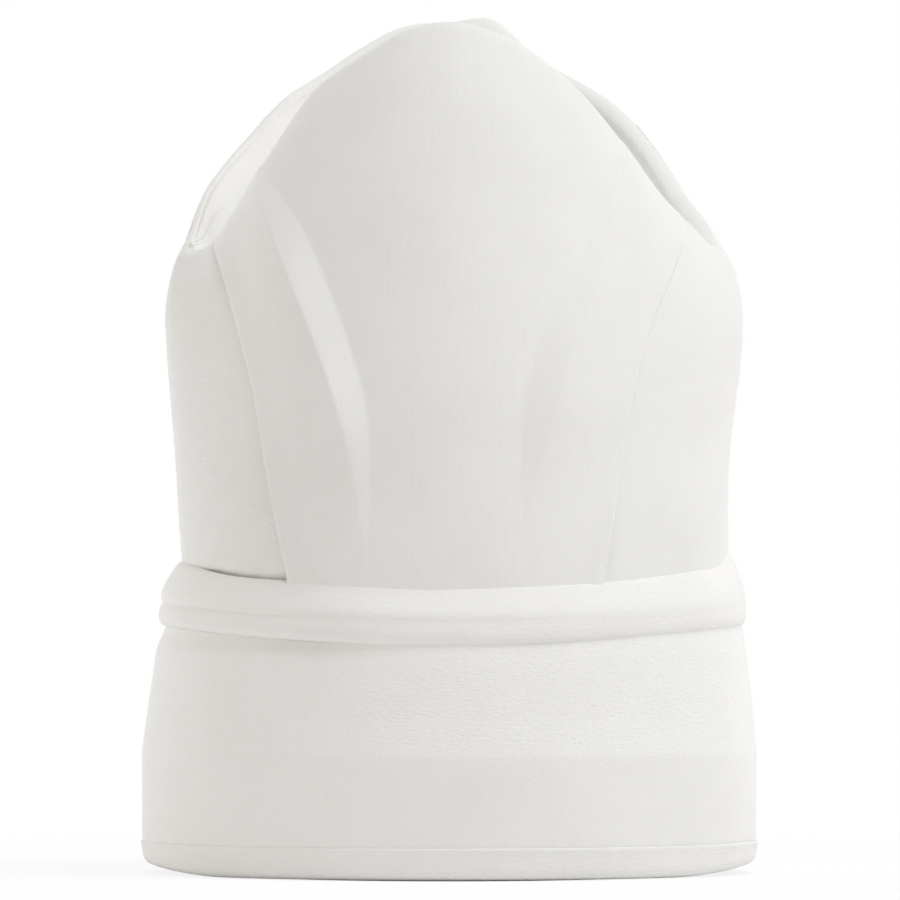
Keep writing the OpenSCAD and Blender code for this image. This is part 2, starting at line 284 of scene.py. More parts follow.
def thicken(piece, thickness, offset=-1, even=True):
    """Gives the cloth its thickness, inwards from its face, and rounds its edges."""
    apply_modifier(piece, "SOLIDIFY", thickness=thickness * MM, offset=offset, use_even_offset=even)
    apply_modifier(piece, "SUBSURF", levels=1, render_levels=1)
    bpy.ops.object.shade_smooth()


def finish_cloth(piece, node, body, flat):
    """Puts the piece on its body, hides the solid it replaces, and prints the size it was cut to."""
    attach(piece, body)
    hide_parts(node)
    size = tuple(x * MM for x in flat)
    print(piece.name, "flat", [round(x) for x in flat], "mm,", len(piece.data.polygons), "faces")

# %% [markdown]
# ## The pleated front and back
# The front is one panel with two open pleats. Each pleat is a lens: from a sharp crease the cloth comes
# out in a slanting face to a soft ridge, and from there a plain strip falls back to the edge of the
# panel. The lens is closed at the foot and at the lip. The number called fall says how the strip goes
# down: at 1 evenly, and above 1 faster beside the ridge. The panel's columns are shared out between the
# middle, the two slanting faces and the two strips, so that a column runs along every crease. Bevelled
# edges on a plain wall would show the creases too, but they would not open and close as a pleat does.

# %% Where the pleats and edges run
MIDDLE_COLS, FACE_COLS, STRIP_COLS = 40, 12, 16
PANEL_COLS = MIDDLE_COLS + 2 * (FACE_COLS + STRIP_COLS)
WALL_ROWS, LIP_ROWS = 88, 14
PANEL_ROWS = WALL_ROWS + LIP_ROWS
STRIP_CROWD = 1.4
SLANT_FOOT, SLANT_FROM, SLANT_FULL = 0.3, 0.1, 0.46
RIDGE_SOFT, SOFT_LEAST, SOFT_FACE = 0.22, 0.15, 6.0
EDGE_PROUD, PROUD_WIDE, PROUD_AT_LIP = 0.7, 8.0, 0.2
PANEL_R = 92.0
PER_MM = math.degrees(1 / PANEL_R)

LEFT_RUN = {
    "fold": ([0, 0.12, 0.2, 0.28, 0.38, 0.49, 0.63, 0.72, 0.82, 0.93, 1],
             [17.9, 17, 16.4, 16.3, 17, 20.2, 25.3, 28.9, 33.7, 39.2, 43]),
    "ridge": ([0, 0.13, 0.21, 0.32, 0.44, 0.555, 0.67, 0.815, 0.915, 1],
              [18.4, 17.6, 18.9, 20.8, 24.1, 28.3, 32.6, 37.5, 41, 44]),
    "edge": ([0, 0.1, 0.17, 0.245, 0.335, 0.43, 0.535, 0.65, 0.79, 0.9, 1],
             [34.6, 36.1, 37.9, 39.5, 41.1, 42.5, 44.1, 46.7, 50, 53.5, 58.3]),
    "slant": 0.6,
    "fall": 1.5,
}
RIGHT_RUN = {
    "fold": ([0, 0.13, 0.2, 0.29, 0.39, 0.5, 0.6, 0.7, 0.83, 1],
             [17.2, 16.1, 15, 14.6, 15.2, 18.4, 23, 27.8, 33, 39]),
    "ridge": ([0, 0.13, 0.2, 0.32, 0.45, 0.6, 0.72, 0.85, 1],
              [17.9, 17.1, 17.8, 19.9, 23.3, 28.5, 32, 35.4, 39.8]),
    "edge": ([0, 0.09, 0.16, 0.3, 0.5, 0.64, 0.78, 0.9, 1],
             [31.9, 33.5, 34.9, 37.1, 40.35, 43.5, 48.3, 53.4, 59]),
    "slant": 0.34,
    "fall": 1.0,
}
BACK_RUN = {
    "fold": ([0, 0.2, 0.4, 0.6, 0.8, 1], [16, 16.3, 18, 22.4, 30.7, 44]),
    "ridge": ([0, 0.15, 0.35, 0.58, 0.75, 1], [17, 18, 22.5, 29.2, 34.2, 44.8]),
    "edge": ([0, 0.25, 0.5, 0.75, 1], [36, 37.5, 41, 47, 58]),
    "slant": 0.42,
    "fall": 1.2,
}


def row_place(v):
    """Rows are shared between the wall (up to 1) and the roll over the lip (from 1 to 2)."""
    row = v * PANEL_ROWS
    return np.where(row <= WALL_ROWS, row / WALL_ROWS, 1 + (row - WALL_ROWS) / LIP_ROWS)


def half_panel(col, rise, run):
    """Angle and height of one half of a pleated panel, column by column from its middle."""
    fold, ridge, edge = (flow(rise, *run[line]) for line in ("fold", "ridge", "edge"))
    half = MIDDLE_COLS / 2
    in_face = (col - half) / FACE_COLS
    in_strip = np.clip((col - half - FACE_COLS) / STRIP_COLS, 0, 1) ** STRIP_CROWD
    angle = np.where(col <= half, fold * col / half, fold + (ridge - fold) * in_face)
    angle = np.where(col > half + FACE_COLS, ridge + (edge - ridge) * in_strip, angle)
    face_wide, strip_wide = (ridge - fold) / PER_MM, (edge - ridge) / PER_MM
    slant = run["slant"] * (SLANT_FOOT + (1 - SLANT_FOOT) * ease(rise, SLANT_FROM, SLANT_FULL))
    up_face = slant * (angle - fold) / PER_MM
    down_strip = slant * face_wide * np.maximum((edge - angle) / PER_MM / strip_wide, 0) ** run["fall"]
    soft = RIDGE_SOFT * np.clip(face_wide / SOFT_FACE, SOFT_LEAST, 1)
    out = -soft * np.logaddexp(-up_face / soft, -down_strip / soft)
    proud = EDGE_PROUD * ease((angle - edge) / PER_MM, -PROUD_WIDE, -1)
    proud = proud * (1 - (1 - PROUD_AT_LIP) * ease(rise, 0.9, 1))
    return angle, np.where(col <= half, 0, np.maximum(out, 0) + proud)


print("a pleated panel has", PANEL_COLS, "columns and", PANEL_ROWS, "rows")

# %% Sew a pleated panel
CROWN_T = 0.9
PANEL_WAVE, PANEL_UNEVEN = 55.0, 0.7


def pleated_panel(name, node, turn, left_run, right_run, seed):
    """One panel about its middle, which lies at turn degrees from the front."""
    piece, u, v = cut(name, PANEL_COLS, PANEL_ROWS)
    col = np.round((u - 0.5) * PANEL_COLS)
    t = row_place(v)
    rise = climb(np.minimum(t, 1))
    left_angle, left_out = half_panel(np.abs(col), rise, left_run)
    right_angle, right_out = half_panel(np.abs(col), rise, right_run)
    angle = np.where(col < 0, -left_angle, right_angle)
    out = np.where(col < 0, left_out, right_out)
    soft = ripple(crown_point(turn + angle, t, out), PANEL_WAVE, seed) * PANEL_UNEVEN * ease(rise, 0, 0.3)
    points = crown_point(turn + angle, t, out + soft)
    cloth = sew(piece, u, v, points)
    thicken(piece, CROWN_T)
    finish_cloth(piece, node, "hat", (190, 235))
    return cloth


front_cloth = pleated_panel("crown_front", "crown_front_panel", 0, LEFT_RUN, RIGHT_RUN, 1)
back_cloth = pleated_panel("crown_back", "crown_back_panel", 180, BACK_RUN, BACK_RUN, 2)

# %% [markdown]
# ## The plain sides
# Each side panel runs in behind the front and the back panel, so the edges of those two show as crisp
# lines with a shadow beside them. It dips on its way behind, over the last few millimetres, which leaves
# room for the thickness of the cloth above it. On the left it bulges a little over the roll of the band,
# so it is pinched in just above the roll, and a dark gap shows there. The pinch is set by height and not
# by rows, because the rows climb towards the lip and the roll is nearly level.

# %% Sew a side panel
SIDE_COLS = 72
LAP = 8.0
GAP = 0.2
DIP_WIDE = 3.6
CREASE_Z, CREASE_CLIMB = 96.0, 1.4
PINCH_FROM, PINCH_FULL, PINCH_EASES, PINCH_ENDS = -6.5, -3.5, -1.0, 1.4
LEFT_PINCH = 3.0
SIDE_WAVE, SIDE_UNEVEN = 50.0, 0.8


def side_panel(name, node, side, front_run, pinch, seed):
    """The left side is -1 and the right side 1. The pinch is in millimetres."""
    piece, u, v = cut(name, SIDE_COLS, PANEL_ROWS)
    t = row_place(v)
    rise = climb(np.minimum(t, 1))
    front_edge = flow(rise, *front_run["edge"])
    back_edge = 180 - flow(rise, *BACK_RUN["edge"])
    first, last = front_edge - LAP * PER_MM, back_edge + LAP * PER_MM
    across = u if side > 0 else 1 - u
    angle = first + (last - first) * across
    near_front = 1 - ease(angle, front_edge, front_edge + DIP_WIDE * PER_MM)
    near_back = ease(angle, back_edge - DIP_WIDE * PER_MM, back_edge)
    out = -(CROWN_T + GAP - EDGE_PROUD) * np.maximum(near_front, near_back)
    z = CROWN_FOOT + (lip_height(np.radians(side * angle)) - CROWN_FOOT) * rise
    crease = CREASE_Z + CREASE_CLIMB * ease(angle, 45, 62)
    over_roll = ease(z, crease + PINCH_FROM, crease + PINCH_FULL)
    over_roll = over_roll * (1 - ease(z, crease + PINCH_EASES, crease + PINCH_ENDS))
    out = out - pinch * over_roll * (1 - ease(angle, 60, 85))
    soft = ripple(crown_point(side * angle, t, out), SIDE_WAVE, seed) * SIDE_UNEVEN * ease(rise, 0, 0.3)
    points = crown_point(side * angle, t, out + soft * (1 - np.maximum(near_front, near_back)))
    sew(piece, u, v, points)
    thicken(piece, CROWN_T)
    finish_cloth(piece, node, "hat", (155, 150))


side_panel("crown_left", "crown_left_panel", -1, LEFT_RUN, LEFT_PINCH, 3)
side_panel("crown_right", "crown_right_panel", 1, RIGHT_RUN, 0.0, 4)

# %% [markdown]
# ## The sunken top
# The top is sewn on along the lips: inside the lip in front, and just outside it behind. From there its
# cloth rolls on over the lip and hangs between the two lips in one slack curve, with a few soft folds on
# the left slope of the back. Each column of the cloth runs from the front seam to the back seam: a roll,
# a curve that leaves the roll in the direction in which it ends, and the roll on the other side.

# %% Sew the top
TOP_COLS, TOP_ROWS, ROLL_ROWS = 120, 56, 12
TOP_REACH = 89.0
TOP_DROP = 26.0
TURN_IN = 150.0
SLACK_LEFT, SLACK_RIGHT, SLACK_ENDS = 50.0, 25.0, 22.0
SEAM_LAP, SEAM_TUCK = 5.0, 0.4
TOP_PROUD = 0.2
TOP_FOLDS, TOP_FOLD_DEEP = 7, 0.9
TOP_WAVE = 26.0


def over_lip(angle, roll):
    """A point of the top, rolled over the lip. Its edge tucks down into the seam, less at the ends."""
    from_edge = roll - seam_turn(angle) + SEAM_LAP
    tuck = SEAM_TUCK * (1 - ease(from_edge, 0, 8)) * ease(np.abs(np.abs(around(angle)) - 90), 5, 18)
    return crown_point(angle, 1 + roll / seam_turn(angle), TOP_PROUD - tuck)


def sew_top():
    """From seam to seam over both lips, with the slack hanging between."""
    piece, u, v = cut("crown_top", TOP_COLS, TOP_ROWS)
    angle, row = TOP_REACH * (2 * u - 1), v * TOP_ROWS
    behind = 180 - angle
    from_front, from_back = seam_turn(angle) - SEAM_LAP, seam_turn(behind) - SEAM_LAP
    left, right = SLACK_LEFT * ease(-angle, 30, 80), SLACK_RIGHT * ease(angle, 20, 72)
    turn_in = TURN_IN - np.where(angle < 0, left, right)
    turn_in = turn_in - SLACK_ENDS * ease(np.abs(angle), 81, 88)
    front_share = np.clip(row / ROLL_ROWS, 0, 1)
    back_share = np.clip((TOP_ROWS - row) / ROLL_ROWS, 0, 1)
    front = over_lip(angle, from_front + (turn_in - from_front) * front_share)
    back = over_lip(behind, from_back + (turn_in - from_back) * back_share)
    front_end, back_end = over_lip(angle, turn_in), over_lip(behind, turn_in)
    front_way = unit(front_end - over_lip(angle, turn_in - 2))
    back_way = unit(back_end - over_lip(behind, turn_in - 2))
    drop = (TOP_DROP * np.cos(np.radians(angle)) ** 1.2)[:, None]
    s = np.clip((row - ROLL_ROWS) / (TOP_ROWS - 2 * ROLL_ROWS), 0, 1)[:, None]
    hang = bezier((front_end, front_end + drop * front_way, back_end + drop * back_way, back_end), s)
    on_front, on_back = (row < ROLL_ROWS)[:, None], (row > TOP_ROWS - ROLL_ROWS)[:, None]
    points = np.where(on_front, front, np.where(on_back, back, hang))
    slope = ease(v, 0.5, 0.7) * ease(-v, -0.93, -0.8) * ease(-angle, 12, 40)
    folds = TOP_FOLD_DEEP * np.sin(2 * math.pi * v * TOP_FOLDS) * slope
    points[:, 2] += folds + ripple(points, TOP_WAVE, 5) * np.sin(math.pi * v)
    sew(piece, u, v, points)
    thicken(piece, CROWN_T, even=False)
    finish_cloth(piece, "crown_top_panel", "hat", (190, 110))


sew_top()

# %% [markdown]
# ## The layers of the band
# Every layer of the band is one long strip, bent round the head and open at the back, where its ends meet
# under the flap. The upper edge of the whole band dips a little in front and rises at the sides, so each
# layer's height follows the same saddle. A strip is described by the line that its face follows from one
# edge to the other, as pairs of radius and height.

# %% Bend a strip round the head
BAND_OUT = 100.024
BAND_WAVE = 45.0
FLAP_ROOT = 110.957
SLIT_FROM_ROOT = 4.5
SLIT_MIDDLE = FLAP_ROOT - math.degrees(SLIT_FROM_ROOT / BAND_OUT)
SLIT_HALF = 0.75
SADDLE = 2.6
FRONT_DIP = 1.1
HEM_LIFT = 2.8
TOP_SHIFT = 0.9
STRIP_COLS_ROUND = 176
SIDE_STOPS = [0, 36, 52, 61, 69, 78, 86, 90]
LEFT_LIFT = [-2.2, -2.7, -2.9, -2.2, -1.2, -0.6, -0.4, -0.4]
RIGHT_LIFT = [-2.2, -2.8, -2.4, -2.0, -1.6, 1.2, 4.6, 5.0]


def saddle(psi, z):
    """The lift of the band at a height: its top and its foot both rise at the sides."""
    turn = np.degrees(np.arccos(np.abs(np.cos(psi))))
    top = np.where(np.sin(psi) < 0, flow(turn, SIDE_STOPS, LEFT_LIFT), flow(turn, SIDE_STOPS, RIGHT_LIFT))
    dip = SADDLE * np.cos(2 * psi) + FRONT_DIP * np.abs(np.cos(psi))
    lift = HEM_LIFT * np.clip((np.abs(np.sin(psi)) - 0.74) / 0.26, 0, 1) ** 1.8 * (1 - ease(z, 1, 12))
    return lift - dip * np.clip((z - 10) / 68, 0, 1) ** 2.4 + top * ease(z, 85, 98)


def shift(z):
    """The top of the band stands a little to the right of its foot."""
    return TOP_SHIFT * np.clip((z - 40) / 45, 0, 1)


def along(line, v, rounds=1):
    """Points at even steps along a line of (radius, height), after its corners are rounded."""
    points = np.array(line, float)
    for _ in range(rounds):
        near, far = points[:-1], points[1:]
        inner = np.stack([near * 0.75 + far * 0.25, near * 0.25 + far * 0.75], 1).reshape(-1, 2)
        points = np.vstack([points[:1], inner[1:-1], points[-1:]])
    length = np.concatenate([[0], np.cumsum(np.linalg.norm(np.diff(points, axis=0), axis=1))])
    return np.stack([np.interp(v * length[-1], length, points[:, k]) for k in (0, 1)], 1), length[-1]


def strip(name, line, rows, thickness, seed, uneven=0.35, rounds=1, swell=None):
    """A strip round the head whose face follows the line. swell(psi, z) adds to its radius."""
    piece, u, v = cut(name, STRIP_COLS_ROUND, rows)
    profile, long = along(line, v, rounds)
    radius, z = profile[:, 0], profile[:, 1]
    gap = math.degrees(SLIT_HALF / BAND_OUT)
    theta = np.radians(SLIT_MIDDLE + gap + u * (360 - 2 * gap))
    psi = theta + math.pi / 2
    round_points = np.stack([radius * np.cos(theta), radius * np.sin(theta), z], 1)
    r = radius + uneven * ripple(round_points, BAND_WAVE, seed) * ease(z, 2, 12)
    if swell:
        r = r + swell(psi, z)
    points = np.stack([r * np.cos(theta) + shift(z), r * np.sin(theta), z + saddle(psi, z)], 1)
    sew(piece, u, v, points)
    thicken(piece, thickness)
    return piece, (2 * math.pi * radius.mean(), long)


print("the ends of each strip meet at", round(SLIT_MIDDLE, 1), "degrees,", 2 * SLIT_HALF, "mm apart")

# %% [markdown]
# ## The outer cloth of the band
# The lower part stands upright on its stiffener. Where the stiffener ends, at about 40 mm, its edge
# presses a crease out in front, and above it the cloth leans in to the roll. Under the roll the cloth
# tucks in, deeper on the left. A spun profile would give the same section all the way round, and cloth is
# never so even.

# %% Outer band
BAND_T = 2.0
ROLL_FOOT = 78.5
BEND_Z = 39.5
BAND_LEAN, LEAN_CURVE = 5.5, 1.12
CREASE_OUT = 0.7
CREASE_FOOT, CREASE_AT, CREASE_HEAD = 14.0, 39.0, 51.5
TUCK_ROUND, TUCK_LEFT = 0.3, 1.5


def band_face(z):
    """Radius of the band's face at a height."""
    z = np.asarray(z, float)
    return BAND_OUT - BAND_LEAN * (np.maximum(z - BEND_Z, 0) / (ROLL_FOOT - BEND_Z)) ** LEAN_CURVE


def press(psi, z):
    """The crease that the stiffener presses out in front, less the tuck under the roll."""
    up_to = np.clip((z - CREASE_FOOT) / (CREASE_AT - CREASE_FOOT), 0, 1)
    down_from = np.clip((CREASE_HEAD - z) / (CREASE_HEAD - CREASE_AT), 0, 1)
    crease = CREASE_OUT * up_to * down_from * ease(np.cos(psi), 0.1, 0.6)
    return crease - (TUCK_ROUND + TUCK_LEFT * ease(-np.sin(psi), 0.1, 0.6)) * ease(z, 70, 78)


upright = [(99.3, 8.6), (BAND_OUT, 10.5), (BAND_OUT, 24), (BAND_OUT + 0.2, 38.8)]
leaning = [(float(band_face(z)), z) for z in (41, 48, 56, 64, 71, 80)]
outer_band, flat = strip("band_outer", upright + leaning, 56, BAND_T, 6, swell=press)
finish_cloth(outer_band, "outer_band", "hat", flat)

# %% [markdown]
# ## The turned-over top of the band
# The top of the band is folded over to the outside: it comes up against the crown, turns over, lies down
# the outside and ends in a narrow turned edge. A groove runs round it where the turned edge begins,
# deepest on the left and fading on the right. A torus would be quicker, but too round and even for a
# flattened fold.

# %% Roll
ROLL_T = 1.0
GROOVE_Z, GROOVE_HALF = 85.1, 1.3
GROOVE_LEFT, GROOVE_RIGHT = -0.6, 0.35
EDGE_IN_RIGHT = 0.45
LEAN_FRONT, LEAN_SIDES = 2.2, 1.2
roll_line = [
    (90.4, 70), (90.1, 78), (89.7, 88), (88.7, 95.5), (88.4, 97.6), (89.0, 98.4),
    (90.7, 96.6), (92.5, 92.8), (93.8, 88.8), (94.3, 86.5), (94.0, GROOVE_Z), (94.3, 83.8),
    (94.8, 81.4), (94.7, 79.3), (94.2, 78.3), (93.4, 79), (93.1, 82.6),
]


def lean_back(psi, z):
    """The groove's change from left to right, less the lean of the upper bead towards the crown."""
    right, left = ease(np.sin(psi), 0.05, 0.7), ease(-np.sin(psi), 0.2, 0.7)
    groove = (GROOVE_RIGHT * right + GROOVE_LEFT * left) * np.exp(-((z - GROOVE_Z) / GROOVE_HALF) ** 2)
    groove = groove - EDGE_IN_RIGHT * right * (1 - ease(z, 79, 84))
    front = LEAN_FRONT * ease(z, 84.5, 96) * np.cos(psi) ** 2
    return groove - front - LEAN_SIDES * ease(z, 88, 97) * ease(np.abs(np.sin(psi)), 0.88, 0.99)


band_roll, flat = strip("band_roll_cloth", roll_line, 64, ROLL_T, 7, uneven=0.5, rounds=2, swell=lean_back)
finish_cloth(band_roll, "band_roll", "hat", flat)

# %% [markdown]
# ## The hem
# The hat stands on its hem: the cloth is turned under and comes up inside. Its upper edge shows as a fine
# raised line all round. A bevelled ring would give the shape, but on a strip the UV map runs along the
# cloth.

# %% Hem
HEM_T = 0.9
hem_line = [
    (95.2, 9.3), (94.5, 8.6), (94.4, 5), (94.4, 1.8), (94.9, 0.3), (96, 0.02),
    (97.4, 0.15), (98.8, 0.9), (99.6, 2.4), (99.9, 4.5), (100.05, 7), (100.4, 9.2),
    (100.45, 9.8), (100.2, 10.3), (99.8, 10.4), (99.4, 9.8),
]
hem, flat = strip("hem_cloth", hem_line, 40, HEM_T, 8, uneven=0.15)
finish_cloth(hem, "hem_fold", "hat", flat)

# %% [markdown]
# ## The inner layers
# Inside the outer cloth come a strip of stiff felt, the lining that narrows to the neck of the crown, and
# the towelling sweatband that lies on the forehead. They show only at the slit and from below, and the
# same function makes each of them in a few lines.

# %% Felt, lining and sweatband
FELT_R, FELT_T = 98.024, 1.0
LINING_R, NECK_R, LINING_T = 96.424, 85.224, 1.2
SWEAT_R, SWEAT_T = 94.924, 1.5
LAYER_FOOT = 9.9

felt_line = [(FELT_R, LAYER_FOOT), (FELT_R, 25), (FELT_R, 39.4)]
felt, flat = strip("band_felt", felt_line, 16, FELT_T, 9, uneven=0.05)
finish_cloth(felt, "band_stiffener", "hat", flat)
lining_line = [(LINING_R, LAYER_FOOT), (LINING_R, 39), (91, 60), (NECK_R, 79.5), (NECK_R, 92.8)]
lining, flat = strip("band_lining_cloth", lining_line, 36, LINING_T, 10, uneven=0.2)
finish_cloth(lining, "band_lining", "hat", flat)
sweat_line = [(SWEAT_R, LAYER_FOOT), (SWEAT_R, 22), (SWEAT_R, 35.7)]
sweat, flat = strip("sweatband_towel", sweat_line, 16, SWEAT_T, 11, uneven=0.1)
finish_cloth(sweat, "sweatband", "hat", flat)

# %% [markdown]
# ## The closure
# At the back a flap laps over the slit in the band. The hook strip on its inside grips the loop strip on
# the band, which lets the wearer set the girth. The flap turns about its root, so it rides on a body of
# its own together with the hook strip. It is quilted down along its stitching: every point near a row of
# stitches is pressed in a little.

# %% The flap's outline and its stitching
FLAP_STACK = 2.5
FLAP_T = 1.6
FLAP_SPAN = 41.91
FLAP_END = 90 - FLAP_SPAN / 2
FLAP_R = 102.5
FLAP_LONG = math.radians(FLAP_ROOT - FLAP_END) * FLAP_R
FLAP_CORNER = 9.0
FLAP_LOW, FLAP_HIGH = 1.2, 92.8
TAPE_LOW, TAPE_HIGH = 13.65, 35.65
HOOK_START, HOOK_LONG, LOOP_LONG = 5.0, 34.0, 56.0
EDGE_ROW, ROW_SHORT = 4.0, 4.5
TAPE_EDGE = 1.2


def flap_place(s, z, out=0.0):
    """A point of the flap's face, s in from its free end and z up."""
    theta = np.radians(FLAP_END + s / FLAP_LONG * (FLAP_ROOT - FLAP_END))
    r = band_face(np.minimum(z, ROLL_FOOT)) + FLAP_STACK + FLAP_T + out
    return np.stack([r * np.cos(theta), r * np.sin(theta), z], 1)


def evenly(line, step):
    """Points at even steps along a line."""
    line = np.asarray(line, float)
    length = np.concatenate([[0], np.cumsum(np.linalg.norm(np.diff(line, axis=0), axis=1))])
    where = np.linspace(0, length[-1], max(2, round(length[-1] / step) + 1))
    return np.stack([np.interp(where, length, line[:, k]) for k in range(line.shape[1])], 1)


bow = np.radians(np.linspace(0, 90, 9))
bend = FLAP_CORNER - EDGE_ROW
low_corner = np.stack([FLAP_CORNER - bend * np.sin(bow), FLAP_LOW + FLAP_CORNER - bend * np.cos(bow)], 1)
high_corner = np.stack([low_corner[::-1, 0], FLAP_LOW + FLAP_HIGH - low_corner[::-1, 1]], 1)
row_end = FLAP_LONG - ROW_SHORT
foot_end, head_end = [[row_end, FLAP_LOW + EDGE_ROW]], [[row_end, FLAP_HIGH - EDGE_ROW]]
edge_row = np.vstack([foot_end, low_corner, high_corner, head_end])
near, far = HOOK_START + TAPE_EDGE, HOOK_START + HOOK_LONG - TAPE_EDGE
low, high = TAPE_LOW + TAPE_EDGE, TAPE_HIGH - TAPE_EDGE
box_row = np.array([[near, low], [far, low], [far, high], [near, high], [near, low], [far, high]])
flap_rows = [evenly(edge_row, 1.0), evenly(box_row, 1.0)]
print("the flap is", round(FLAP_LONG, 1), "mm long, with about", sum(map(len, flap_rows)), "mm of stitching")

# %% Flap
FLAP_GRID = (72, 96)
FLAP_WAVE, FLAP_UNEVEN = 14.0, 0.2
QUILT_DEEP, QUILT_HALF = 0.45, 1.1
FLAP_INNER = 0.5


def sew_flap():
    """A sheet with two round corners, pressed in along its rows of stitches."""
    piece, u, v = cut("closure_flap_cloth", *FLAP_GRID)
    s = u * FLAP_LONG
    corner = np.clip(FLAP_CORNER - s, 0, FLAP_CORNER)
    cut_back = FLAP_CORNER - np.sqrt(np.maximum(FLAP_CORNER ** 2 - corner ** 2, 0))
    z = FLAP_LOW + cut_back + (FLAP_HIGH - FLAP_LOW - 2 * cut_back) * v
    place = np.stack([s, z], 1)
    to_row = np.min([np.linalg.norm(place - p, axis=1) for row in flap_rows for p in row], axis=0)
    quilt = QUILT_DEEP * np.exp(-(to_row / QUILT_HALF) ** 2)
    out = FLAP_UNEVEN * ripple(flap_place(s, z), FLAP_WAVE, 12) - quilt
    sew(piece, u, v, flap_place(s, z, out))
    thicken(piece, FLAP_T - FLAP_INNER)
    flat = (FLAP_LONG, FLAP_HIGH - FLAP_LOW)
    finish_cloth(piece, "closure_flap", "flap", flat)


sew_flap()

# %% [markdown]
# ## The fold at the flap's root
# A strip of the band's cloth is sewn to the band beside the slit, turns back on itself and is sewn over
# the root of the flap. It is what the flap swings on.

# %% Root fold
FOLD_T = 0.8
FOLD_R = 1.65
FOLD_CLEAR = 0.3
FOLD_MIDDLE = BAND_OUT + FOLD_CLEAR + FOLD_R + FOLD_T / 2
FOLD_LOW, FOLD_TALL = 1.4, 37.8
TAIL_LONG, FOLD_LAP = 3.2, 5.0


def root_place(beside, radius, z):
    """A point at a distance beside the root, away from the slit, and at a radius."""
    theta = np.radians(FLAP_ROOT) + beside / FOLD_MIDDLE
    return np.stack([radius * np.cos(theta), radius * np.sin(theta), z], 1)


def sew_fold():
    """A tail on the band, a half turn, and a lap on the flap."""
    piece, u, v = cut("flap_root_fold", 40, 24)
    arc = math.pi * FOLD_R
    long = TAIL_LONG + arc + FOLD_LAP
    d = (1 - u) * long
    turn = np.clip((d - TAIL_LONG) / FOLD_R, 0, math.pi)
    beside = np.minimum(d - TAIL_LONG, 0) + FOLD_R * np.sin(turn) - np.maximum(d - TAIL_LONG - arc, 0)
    radius = FOLD_MIDDLE - FOLD_R * np.cos(turn)
    sew(piece, u, v, root_place(beside, radius, FOLD_LOW + FOLD_TALL * v))
    thicken(piece, FOLD_T, offset=0)
    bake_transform(piece)
    print("root fold", round(long, 1), "mm of cloth round a", round(2 * FOLD_R + FOLD_T, 1), "mm turn")


sew_fold()

# %% [markdown]
# ## Hook and loop
# Each strip is a thin woven tape. What makes it grip stands on it: rows of small bent hooks on one, and a
# pile of small arches on the other. A picture of them on the tape would look flat from the side, so one
# hook and one arch are grown as thin wires, by extruding and turning the end of a small disc, and then
# set out in rows.

# %% Tapes
HOOK_TOP, LOOP_TOP = 102.224, 100.824
TAPE_T = 0.45


def tape(name, node, body, radius, long):
    """A woven tape at a radius, from near the free end of the flap."""
    piece, u, v = cut(name, 40, 24)
    theta = np.radians(FLAP_END + np.degrees((HOOK_START + long * u) / radius))
    z = TAPE_LOW + (TAPE_HIGH - TAPE_LOW) * v
    sew(piece, u, v, np.stack([radius * np.cos(theta), radius * np.sin(theta), z], 1))
    thicken(piece, TAPE_T)
    finish_cloth(piece, node, body, (long, TAPE_HIGH - TAPE_LOW))


tape("hook_tape", "hook_strip", "flap", HOOK_TOP, HOOK_LONG)
tape("loop_tape", "loop_strip", "hat", LOOP_TOP, LOOP_LONG)

# %% One small wire, and many of them
def bent_wire(name, sides, radius, steps):
    """A wire grown from a small disc: each step moves its end forward, then turns it about y."""
    bpy.ops.object.select_all(action="DESELECT")
    bpy.ops.mesh.primitive_circle_add(vertices=sides, radius=radius * MM, fill_type="NGON")
    wire = bpy.context.object
    wire.name = name
    bpy.ops.object.mode_set(mode="EDIT")
    end, lean = Vector((0, 0, 0)), 0.0
    for forward, turn in steps:
        step = Vector((math.sin(lean), 0, math.cos(lean))) * forward * MM
        bpy.ops.mesh.extrude_region_move(TRANSFORM_OT_translate={"value": step})
        end += step
        lean += math.radians(turn)
        bpy.ops.transform.rotate(value=-math.radians(turn), orient_axis="Y", center_override=end)
    bpy.ops.mesh.select_all(action="SELECT")
    bpy.ops.mesh.normals_make_consistent(inside=False)
    bpy.ops.object.mode_set(mode="OBJECT")
    bpy.ops.object.shade_smooth()
    print(name, len(wire.data.polygons), "faces, its end lies at", [round(x / MM, 2) for x in end], "mm")
    return wire


def set_out(name, model, places, ways, ups, body, slot):
    """Copies of a small model, x along its way and z up from the cloth, joined into one piece."""
    copies = []
    for place, way, up in zip(places, ways, ups):
        x, z = Vector(way).normalized(), Vector(up).normalized()
        turned = Matrix((x, z.cross(x), z)).transposed().to_4x4()
        turned.translation = Vector(place) * MM
        copy = model.copy()
        copy.data = model.data.copy()
        copy.data.transform(turned)
        bpy.context.collection.objects.link(copy)
        copies.append(copy)
    bpy.ops.object.select_all(action="DESELECT")
    for copy in copies:
        copy.select_set(True)
    bpy.context.view_layer.objects.active = copies[0]
    bpy.ops.object.join()
    piece = bpy.context.object
    piece.name = piece.data.name = name
    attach(piece, body)
    print(name, len(copies), "copies,", len(piece.data.polygons), "faces")
    return piece


ROW_START, ROW_CLOSE = 1.4, 0.9


